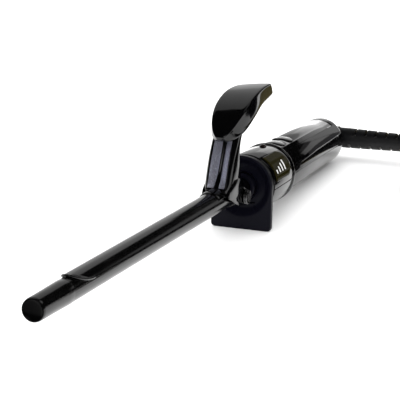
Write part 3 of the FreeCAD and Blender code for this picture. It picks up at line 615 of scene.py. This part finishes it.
# %% [markdown]
# The handle is two half shells with a strip of keys let into the top. One outline, with a wall about 2 mm
# thick and a rounded rear end, is spun over half a turn for each shell. The strip's opening is then cut
# from the upper shell and the screw wells from the lower one, as a mould would leave them.

# %% handle
HANDLE_FRONT = -37.55
END_STEPS = 8
end_round = [(-124 - 7 * math.sin(math.radians(90 * step / END_STEPS)),
              5.4 + 6.75 * math.cos(math.radians(90 * step / END_STEPS))) for step in range(END_STEPS + 1)]
shell = [(HANDLE_FRONT, 10.6), (HANDLE_FRONT, 12.8), (-80, 12.48)] + end_round + [
    (-131, 4.3), (-128, 4.3), (-128, 8.6), (-123, 9.9)]


def carved(piece, tool, operation="DIFFERENCE"):
    """Cut a tool out of a piece, or keep only what both share."""
    apply_modifier(piece, "BOOLEAN", object=tool, operation=operation, solver="EXACT")
    bpy.data.objects.remove(tool)
    return piece


strip_block = spun("strip_block", [(-118, 7), (-30, 7), (-30, 17), (-118, 17)], start=52, sweep=76, steps=40)
handle_top = carved(spun("handle_upper_shell", shell, start=0.25, sweep=179.5, steps=90), strip_block)
settled(with_edges(handle_top, 0.22, segments=2, least_angle=42), "iron", ["handle_top"])

# %% [markdown]
# The lower shell is the same outline, spun round the other way. Two screws hold the shells together from
# below, so two wells are cut into it.

# %% lower shell
SCREW_WELLS = (-44, -106)
handle_bottom = spun("handle_lower_shell", shell, start=180.25, sweep=179.5, steps=90)
for station in SCREW_WELLS:
    bpy.ops.object.select_all(action="DESELECT")
    bpy.ops.mesh.primitive_cylinder_add(vertices=40, radius=2.1 * MM, depth=6 * MM,
                                        location=(station * MM, 0, -12.6 * MM))
    handle_bottom = carved(handle_bottom, bpy.context.object)
settled(with_edges(handle_bottom, 0.22, segments=2, least_angle=42), "iron", ["handle_bottom"])

# %% [markdown]
# The strip closes the opening and holds two oval keys. Its holes are cut with a slightly larger oval than
# the keys have, and each key is kept inside a turned crown, so that its top follows the handle.

# %% key strip
KEYS = {"front": -46.5, "rear": -58.5}
KEY_HALF_ALONG = 2.9
KEY_HALF_ACROSS = 5.2
KEY_GAP = 0.12
STRIP_REAR = -117.9


def oval(station, grown, low, high, name):
    """An upright prism with round ends, longer across the handle than along it."""
    half_along = KEY_HALF_ALONG + grown
    straight = KEY_HALF_ACROSS - KEY_HALF_ALONG
    ring = []
    for turn in range(5, 360, 10):
        x = station + half_along * math.cos(math.radians(turn))
        y = half_along * math.sin(math.radians(turn))
        ring.append((x, y + math.copysign(straight, y), low))
    return prism(name, ring, (0, 0, high - low))


def grip_radius(station):
    """The handle's outer radius, which tapers a little towards its rear."""
    return 12.8 - 0.65 * (-37.5 - station) / 86.5


strip = spun("key_strip", [(HANDLE_FRONT, 10.6), (HANDLE_FRONT, grip_radius(HANDLE_FRONT)),
                           (STRIP_REAR, grip_radius(STRIP_REAR)), (STRIP_REAR, 10)],
             start=52.25, sweep=75.5, steps=40)
for station in KEYS.values():
    strip = carved(strip, oval(station, KEY_GAP, 7, 16, "key_way"))
settled(with_edges(strip, 0.16, segments=2, least_angle=42), "iron", ["button_strip"])

# %% [markdown]
# Both keys are the same shape at two stations, so a loop makes them. They ride on bodies of their own,
# because each one is pressed by itself.

# %% keys
for name, station in KEYS.items():
    key = oval(station, 0, 8.2, 15, f"{name}_key")
    crown = spun("crown", [(station - 7, 0), (station + 7, 0), (station + 7, 12.95), (station, 13.1),
                           (station - 7, 12.95)], steps=96)
    key = with_edges(carved(key, crown, "INTERSECT"), 0.28, least_angle=42)
    settled(key, f"{name}_button", [f"button_{name}"])

# %% [markdown]
# The tip stays cool enough to hold: a plain moulded cap with a soft shoulder, a slight taper and a
# shallow dished end. One outline holds all three, so a single spin makes it, closed on the barrel's line.

# %% cool tip
tip = [(173, 0), (208.3, 0), (208.35, 2.9), (208.7, 3.5), (208.9, 3.85), (208.7, 4.25), (208.2, 4.45),
       (207.4, 4.52), (199, 4.62), (190, 4.78), (185.7, 4.86), (185.25, 4.8), (185.05, 4.6), (185.05, 4.1),
       (173, 4.1)]
settled(spun("tip_cap", tip, steps=96), "iron", ["cool_tip"], smooth_angle=32)

# %% [markdown]
# A white studio table seen from just above has no visible edge. The key light is a broad soft box
# overhead that only lights the table: on polished black it would show as a white slab. What the polish
# mirrors is a tall soft screen behind the iron's left side, low ones close behind the handle and two
# small lamps, with dark studio on the right, which is what gives polished black its long clear edges.

# %% lamps
def soft_box(name, azimuth, elevation, distance, size, radiance, mirrored=True):
    """An area light that faces the iron, placed by its direction from it."""
    light = bpy.data.lights.new(name, "AREA")
    light.shape = "RECTANGLE"
    light.size, light.size_y = size
    light.energy = math.pi * size[0] * size[1] * radiance
    lamp = bpy.data.objects.new(name, light)
    bpy.context.scene.collection.objects.link(lamp)
    turn = math.radians(azimuth)
    rise = math.radians(elevation)
    way = Vector((math.cos(turn) * math.cos(rise), math.sin(turn) * math.cos(rise), math.sin(rise)))
    lamp.location = way * distance
    lamp.rotation_euler = way.to_track_quat("Z", "Y").to_euler()
    lamp.visible_camera = False
    lamp.visible_glossy = mirrored
    return lamp


soft_box("overhead_key", -150, 72, 2.2, (3.2, 3.0), 0.5, mirrored=False)
soft_box("left_screen", -148, 31, 1.5, (1.6, 1.9), 0.6)
soft_box("left_screen_foot", -156, 10, 1.4, (0.7, 0.5), 0.25)
soft_box("rear_screen", -178, 11.4, 0.53, (0.24, 0.21), 0.42)
soft_box("rear_screen_edge", 172, 10, 0.52, (0.3, 0.17), 0.1)
soft_box("low_strip", 160, 9.5, 1.5, (0.42, 0.2), 0.42)
soft_box("hollow_lamp", 6, 31, 1.1, (0.45, 0.45), 2.8)
soft_box("ridge_lamp", 131, 46, 1.3, (0.5, 0.5), 1.3)
print("the studio has", len(bpy.data.lights), "lamps")

# %% [markdown]
# The table is one wide disc. Two cards behind the iron are hidden from the camera, and only the polish
# sees them: a brown board on the table warms the near sides, and a dark strip that stands further back
# draws the dark line along the handle.

# %% table and cards
bpy.ops.object.select_all(action="DESELECT")
bpy.ops.mesh.primitive_circle_add(vertices=96, radius=3.2, fill_type="NGON")
studio_floor = bpy.context.object
studio_floor.name = "studio_floor"


def mirror_card(name, size, place, turned=(0, 0, 0)):
    """A card that only mirror-like surfaces see."""
    bpy.ops.object.select_all(action="DESELECT")
    bpy.ops.mesh.primitive_grid_add(size=size, location=place, rotation=turned)
    card = bpy.context.object
    card.name = name
    card.visible_camera = False
    card.visible_diffuse = False
    card.visible_shadow = False
    return card


brown_board = mirror_card("brown_board", 0.3, (-0.31, 0.17, 0.0004))
dark_strip = mirror_card("dark_strip", 1, (-0.72, 0.3, 0.03), (0, math.radians(90), math.radians(-22)))
dark_strip.scale = (0.06, 0.6, 1)
print("stage pieces:", studio_floor.name, brown_board.name, dark_strip.name)

# %% [markdown]
# The room's own light is strong and even where it falls on the table, and almost nothing where polish
# mirrors it. A Light Path node tells the two apart.

# %% room
ROOM_LIGHT = 1.75
MIRRORED_LIGHT = 0.01
world = bpy.data.worlds.new("studio")
bpy.context.scene.world = world
world.use_nodes = True
room = world.node_tree
surroundings = room.nodes["Background"]
surroundings.inputs["Color"].default_value = (1, 1, 1, 1)
ray = room.nodes.new("ShaderNodeLightPath")
mirrored_room = room.nodes.new("ShaderNodeMapRange")
mirrored_room.inputs["To Min"].default_value = ROOM_LIGHT
mirrored_room.inputs["To Max"].default_value = MIRRORED_LIGHT
room.links.new(ray.outputs["Is Glossy Ray"], mirrored_room.inputs["Value"])
room.links.new(mirrored_room.outputs["Result"], surroundings.inputs["Strength"])
bpy.context.scene.view_settings.view_transform = "Standard"
print("the room's light is", ROOM_LIGHT, "and in polish", MIRRORED_LIGHT)

# %% [markdown]
# Finishes are built from a few small effects, each one a node group, so that a plastic, a coating and a
# rubber can share them at their own scale. All of them read the place on the object, in metres. The first
# is tone: no moulding has quite the same colour all over.

# %% tone
def new_effect(name, inputs, outputs):
    """An empty node group with named inputs (label, kind, value) and outputs (label, kind)."""
    group = bpy.data.node_groups.new(name, "ShaderNodeTree")
    for label, kind, value in inputs:
        group.interface.new_socket(label, in_out="INPUT", socket_type=kind).default_value = value
    for label, kind in outputs:
        group.interface.new_socket(label, in_out="OUTPUT", socket_type=kind)
    return group, group.nodes.new("NodeGroupInput"), group.nodes.new("NodeGroupOutput")


def place_noise(group, size_socket, detail):
    """Noise on Object coordinates whose scale comes from a socket."""
    place = group.nodes.new("ShaderNodeTexCoord")
    noise = group.nodes.new("ShaderNodeTexNoise")
    noise.inputs["Detail"].default_value = detail
    group.links.new(place.outputs["Object"], noise.inputs["Vector"])
    group.links.new(size_socket, noise.inputs["Scale"])
    return noise


def tone_effect():
    """Colour that drifts a little between two tones."""
    group, given, result = new_effect("tone", [
        ("Dark", "NodeSocketColor", (0, 0, 0, 1)), ("Light", "NodeSocketColor", (1, 1, 1, 1)),
        ("Size", "NodeSocketFloat", 60)], [("Colour", "NodeSocketColor")])
    noise = place_noise(group, given.outputs["Size"], 4)
    mix = group.nodes.new("ShaderNodeMix")
    mix.data_type = "RGBA"
    group.links.new(noise.outputs["Fac"], mix.inputs["Factor"])
    group.links.new(given.outputs["Dark"], mix.inputs["A"])
    group.links.new(given.outputs["Light"], mix.inputs["B"])
    group.links.new(mix.outputs["Result"], result.inputs["Colour"])
    return group


TONE = tone_effect()
print(TONE.name, "has", len(TONE.nodes), "nodes")

# %% [markdown]
# Handling is roughness that varies where hands and cloths have been: soft noise, spread between a least
# and a most value.

# %% handling
def handling_effect():
    """Roughness that varies where hands and cloths have been."""
    group, given, result = new_effect("handling", [
        ("Least", "NodeSocketFloat", 0.05), ("Most", "NodeSocketFloat", 0.12),
        ("Size", "NodeSocketFloat", 40)], [("Roughness", "NodeSocketFloat")])
    noise = place_noise(group, given.outputs["Size"], 6)
    spread = group.nodes.new("ShaderNodeMapRange")
    spread.inputs["From Min"].default_value = 0.35
    spread.inputs["From Max"].default_value = 0.7
    group.links.new(noise.outputs["Fac"], spread.inputs["Value"])
    group.links.new(given.outputs["Least"], spread.inputs["To Min"])
    group.links.new(given.outputs["Most"], spread.inputs["To Max"])
    group.links.new(spread.outputs["Result"], result.inputs["Roughness"])
    return group


HANDLING = handling_effect()
print(HANDLING.name, "has", len(HANDLING.nodes), "nodes")

# %% [markdown]
# Grain is the surface itself, from the fine texture of rubber to the shallow waves of a polished moulding.
# It is a bump, because its depth is far less than a mesh could show.

# %% grain
def grain_effect():
    """The small waves of a moulded or coated surface."""
    group, given, result = new_effect("grain", [
        ("Size", "NodeSocketFloat", 800), ("Depth", "NodeSocketFloat", 0.00001)],
        [("Normal", "NodeSocketVector")])
    noise = place_noise(group, given.outputs["Size"], 2)
    bump = group.nodes.new("ShaderNodeBump")
    group.links.new(given.outputs["Depth"], bump.inputs["Distance"])
    group.links.new(noise.outputs["Fac"], bump.inputs["Height"])
    group.links.new(bump.outputs["Normal"], result.inputs["Normal"])
    return group


GRAIN = grain_effect()
print(GRAIN.name, "has", len(GRAIN.nodes), "nodes")

# %% [markdown]
# Specks are for the lining of the hollow. Each cell of a Voronoi pattern has one middle point, and what
# lies near enough to it is a speck.

# %% specks
def speck_effect():
    """A mask of small separate specks."""
    group, given, result = new_effect("specks", [
        ("Size", "NodeSocketFloat", 2000), ("Reach", "NodeSocketFloat", 0.2)], [("Mask", "NodeSocketFloat")])
    place = group.nodes.new("ShaderNodeTexCoord")
    cells = group.nodes.new("ShaderNodeTexVoronoi")
    edge = group.nodes.new("ShaderNodeMath")
    edge.operation = "LESS_THAN"
    group.links.new(place.outputs["Object"], cells.inputs["Vector"])
    group.links.new(given.outputs["Size"], cells.inputs["Scale"])
    group.links.new(cells.outputs["Distance"], edge.inputs[0])
    group.links.new(given.outputs["Reach"], edge.inputs[1])
    group.links.new(edge.outputs["Value"], result.inputs["Mask"])
    return group


SPECKS = speck_effect()
print(SPECKS.name, "has", len(SPECKS.nodes), "nodes")

# %% [markdown]
# The handle and the thumb lever are polished black plastic. Polished black takes nearly all its looks
# from what it mirrors, so its own colour is close to nothing, its roughness is low with faint hand
# marks, and a very shallow wave keeps long highlights from looking machined.

# %% polished plastics
def use_effect(material, effect, **values):
    """Place an effect in a material with its own values."""
    node = material.node_tree.nodes.new("ShaderNodeGroup")
    node.node_tree = effect
    for label, value in values.items():
        node.inputs[label].default_value = value
    return node


def grey(level, blue=1.0):
    """A grey, whose blue may be stronger."""
    return (level, level, level * blue, 1)


def finish_with(name, dark, light, drift, handled, grain, **constants):
    """A material of tone, handling and grain; constants go straight on the shader."""
    material = bpy.data.materials.new(name)
    material.use_nodes = True
    links = material.node_tree.links
    shader = material.node_tree.nodes["Principled BSDF"]
    tone = use_effect(material, TONE, Dark=dark, Light=light, Size=drift)
    links.new(tone.outputs["Colour"], shader.inputs["Base Color"])
    least, most, size = handled
    handling = use_effect(material, HANDLING, Least=least, Most=most, Size=size)
    links.new(handling.outputs["Roughness"], shader.inputs["Roughness"])
    grain_size, depth = grain
    surface = use_effect(material, GRAIN, Size=grain_size, Depth=depth)
    links.new(surface.outputs["Normal"], shader.inputs["Normal"])
    for label, value in constants.items():
        shader.inputs[label.replace("_", " ")].default_value = value
    return material


polished_black = finish_with("polished_black", grey(0.0003), grey(0.0008, 1.1), 90, (0.04, 0.09, 45),
                             (160, 0.000012), IOR=1.5)
lever_black = finish_with("lever_black", grey(0.0003), grey(0.0008, 1.2), 110, (0.05, 0.11, 60),
                          (190, 0.000012), IOR=1.42)
print("polished:", polished_black.name, lever_black.name)

# %% [markdown]
# The guard is a heat-proof plastic with a fine satin grain. The barrel and the tongue have a smooth dark
# coating, and the tip is a dull moulding that stays cool.

# %% guard, barrel and tip
guard_black = finish_with("guard_black", grey(0.002, 2.2), grey(0.0038, 1.9), 150, (0.26, 0.36, 120),
                          (2600, 0.000012), Specular_IOR_Level=0.07)
barrel_coating = finish_with("barrel_coating", grey(0.0003), grey(0.001, 1.1), 200, (0.12, 0.2, 70),
                             (900, 0.000004), IOR=1.4)
cap_black = finish_with("cap_black", grey(0.0003), grey(0.0008, 1.15), 240, (0.16, 0.26, 160),
                        (1800, 0.000008), Specular_IOR_Level=0.03)
print("satin:", guard_black.name, barrel_coating.name, cap_black.name)

# %% [markdown]
# The lining of the hollow is a metallic grey lacquer full of bright flecks, so the speck mask mixes a
# pale blue grey into its tone.

# %% speckled lining
speckled_plate = finish_with("speckled_plate", grey(0.26, 1.22), grey(0.5, 1.2), 900, (0.34, 0.46, 300),
                             (2200, 0.00002), Metallic=0.85)
paint = speckled_plate.node_tree
specks = use_effect(speckled_plate, SPECKS, Size=2300, Reach=0.3)
flecked = paint.nodes.new("ShaderNodeMix")
flecked.data_type = "RGBA"
flecked.inputs["B"].default_value = (0.72, 0.76, 0.86, 1)
lacquer = paint.nodes["Principled BSDF"].inputs["Base Color"]
paint.links.new(lacquer.links[0].from_socket, flecked.inputs["A"])
paint.links.new(specks.outputs["Mask"], flecked.inputs["Factor"])
paint.links.new(flecked.outputs["Result"], lacquer)
print("flecks:", len(paint.nodes), "nodes in", speckled_plate.name)

# %% [markdown]
# Small metal parts differ in colour and in how dull they are: springs and screws outside, brass, nickel
# and aluminium inside and on the plug.

# %% metals
spring_steel = finish_with("spring_steel", grey(0.07), grey(0.13), 900, (0.16, 0.3, 700), (3000, 0.000004),
                           Metallic=1.0)
zinc_screw = finish_with("zinc_screw", (0.4, 0.42, 0.46, 1), (0.6, 0.58, 0.52, 1), 700, (0.25, 0.45, 900),
                         (2500, 0.00001), Metallic=1.0)
blackened_screw = finish_with("blackened_screw", grey(0.012), grey(0.03), 600, (0.22, 0.36, 700),
                              (2500, 0.000008), Metallic=0.8)
heat_aluminium = finish_with("heat_aluminium", grey(0.55), grey(0.72), 300, (0.3, 0.45, 500),
                             (1500, 0.00001), Metallic=1.0)
brass_contact = finish_with("brass_contact", (0.55, 0.38, 0.13, 1), (0.75, 0.56, 0.24, 1), 800,
                            (0.2, 0.38, 900), (2500, 0.000006), Metallic=1.0)
pin_nickel = finish_with("pin_nickel", grey(0.6), grey(0.76), 700, (0.14, 0.26, 600), (1500, 0.000004),
                         Metallic=1.0)
print("metals:", spring_steel.name, zinc_screw.name, heat_aluminium.name, brass_contact.name)

# %% [markdown]
# The label panel is a dark plastic, almost without gloss, whose brown colour is a painted reflection of the
# warm brown that the near side mirrors. The lamp on top is a dark red lens. The scale is printed in a dull
# white.

# %% panel, lens and print
# Painted reflection: the panel's brown colour stands in for the warm brown mirrored on the near side.
smoked_panel = finish_with("smoked_panel", (0.007, 0.006, 0.0015, 1), (0.012, 0.0105, 0.003, 1), 200,
                           (0.05, 0.1, 90), (400, 0.000004), Specular_IOR_Level=0.02)
smoked_lens = finish_with("smoked_lens", (0.003, 0.001, 0.001, 1), (0.006, 0.002, 0.001, 1), 900,
                          (0.06, 0.12, 500), (700, 0.000004), IOR=1.5)
mark_white = finish_with("mark_white", grey(0.55), grey(0.7), 900, (0.3, 0.4, 700), (1500, 0.000003))
print("panel:", smoked_panel.name, smoked_lens.name, mark_white.name)

# %% [markdown]
# The strain relief, the strap and the plug are a soft rubber with a fine grain. The lead's own cover is a
# little smoother and catches more light.

# %% rubbers
relief_rubber = finish_with("relief_rubber", grey(0.0012, 1.3), grey(0.003, 1.3), 500, (0.4, 0.55, 300),
                            (3500, 0.00002), Specular_IOR_Level=0.3)
cord_rubber = finish_with("cord_rubber", grey(0.0015), grey(0.004), 350, (0.36, 0.5, 250), (1600, 0.00002),
                          Specular_IOR_Level=0.35)
print("rubbers:", relief_rubber.name, cord_rubber.name)

# %% [markdown]
# The parts inside have plain finishes, for whoever opens the shells: ceramic, board, components and wire.

# %% hidden parts
fired_ceramic = finish_with("fired_ceramic", (0.62, 0.6, 0.55, 1), (0.8, 0.78, 0.72, 1), 500,
                            (0.55, 0.75, 400), (1800, 0.00002))
board_green = finish_with("board_green", (0.01, 0.1, 0.03, 1), (0.02, 0.17, 0.06, 1), 600, (0.25, 0.4, 500),
                          (2000, 0.00001))
component_dark = finish_with("component_dark", grey(0.02), grey(0.05), 900, (0.4, 0.6, 800),
                             (3000, 0.00001))
wire_yellow = finish_with("wire_yellow", (0.5, 0.38, 0.08, 1), (0.7, 0.55, 0.16, 1), 900, (0.5, 0.7, 900),
                          (3000, 0.00002))
print("inside:", fired_ceramic.name, board_green.name, component_dark.name, wire_yellow.name)

# %% [markdown]
# The table has a dull pale paint and the board a dull brown one. The dark strip borrows the guard's black.

# %% studio finishes
table_white = finish_with("table_white", grey(0.84), grey(0.87), 3, (0.6, 0.75, 8), (60, 0.00002))
board_brown = finish_with("board_brown", (0.1, 0.08, 0.015, 1), (0.14, 0.11, 0.025, 1), 9, (0.6, 0.8, 20),
                          (200, 0.0001))
print("studio:", table_white.name, board_brown.name)

# %% [markdown]
# Nodes that keep their own shape are dressed by putting a finish in their slots. A new piece gets its
# finish by name, and polished black if it has no other.

# %% dressing the nodes
dressed = {
    polished_black: ["collar_top", "collar_bottom", "bead_ring", "handle_top", "handle_bottom",
                     "button_strip", "button_front", "button_rear", "swivel_neck", "swivel_elbow"],
    lever_black: ["clip_lever"],
    guard_black: ["guard_plate", "barrel_socket"],
    barrel_coating: ["barrel_tube", "clip_tongue", "clip_saddle"],
    cap_black: ["cool_tip"],
    speckled_plate: ["lever_inlay"],
    spring_steel: ["tongue_rivets", "clip_springs"],
    blackened_screw: ["guard_screws", "hinge_rivets"],
    zinc_screw: ["shell_screws"],
    heat_aluminium: ["heat_spreaders"],
    fired_ceramic: ["heater_core"],
    smoked_panel: ["label_panel"],
    smoked_lens: ["power_lamp"],
    relief_rubber: ["guard_gasket", "strain_relief", "coil_tie", "plug_body"],
    board_green: ["circuit_board"],
    component_dark: ["tact_switches", "power_triac", "filter_capacitor"],
    brass_contact: ["thermal_fuse", "cord_terminals", "swivel_keeper"],
    pin_nickel: ["plug_pins"],
    wire_yellow: ["heater_leads"],
}
for material, names in dressed.items():
    for name in names:
        for place in nodes[name].material_slots:
            place.material = material
bare = sorted(set(nodes) - {name for names in dressed.values() for name in names})
print("nodes without a finish of their own:", bare)

# %% [markdown]
# The new pieces are dressed last. The tip wears two finishes: a face that looks along the barrel is its
# dull end, and the others are its side, which has the same coating as the barrel.

# %% dressing the new pieces
worn_by = {"thumb_lever": lever_black, "gutter_plate": speckled_plate, "hand_guard": guard_black,
           "label_plate": smoked_panel, "heat_scale": mark_white,
           "tip_cap": cap_black, "tongue_lip": barrel_coating}
for piece in finished:
    piece.data.materials.clear()
    piece.data.materials.append(worn_by.get(piece.name, polished_black))
mains_lead.data.materials.append(cord_rubber)
studio_floor.data.materials.append(table_white)
brown_board.data.materials.append(board_brown)
dark_strip.data.materials.append(guard_black)
tip_cap = bpy.data.objects["tip_cap"]
tip_cap.data.materials.append(barrel_coating)
for face in tip_cap.data.polygons:
    face.material_index = 0 if face.normal.dot(barrel_way) > 0.5 else 1
print(len(finished), "new pieces and the lead have their finishes")

# %% [markdown]
# At the end the view layer is brought up to date. The finished model has to stay inside the frame's
# box.

# %% bringing the scene up to date
bpy.context.view_layer.update()
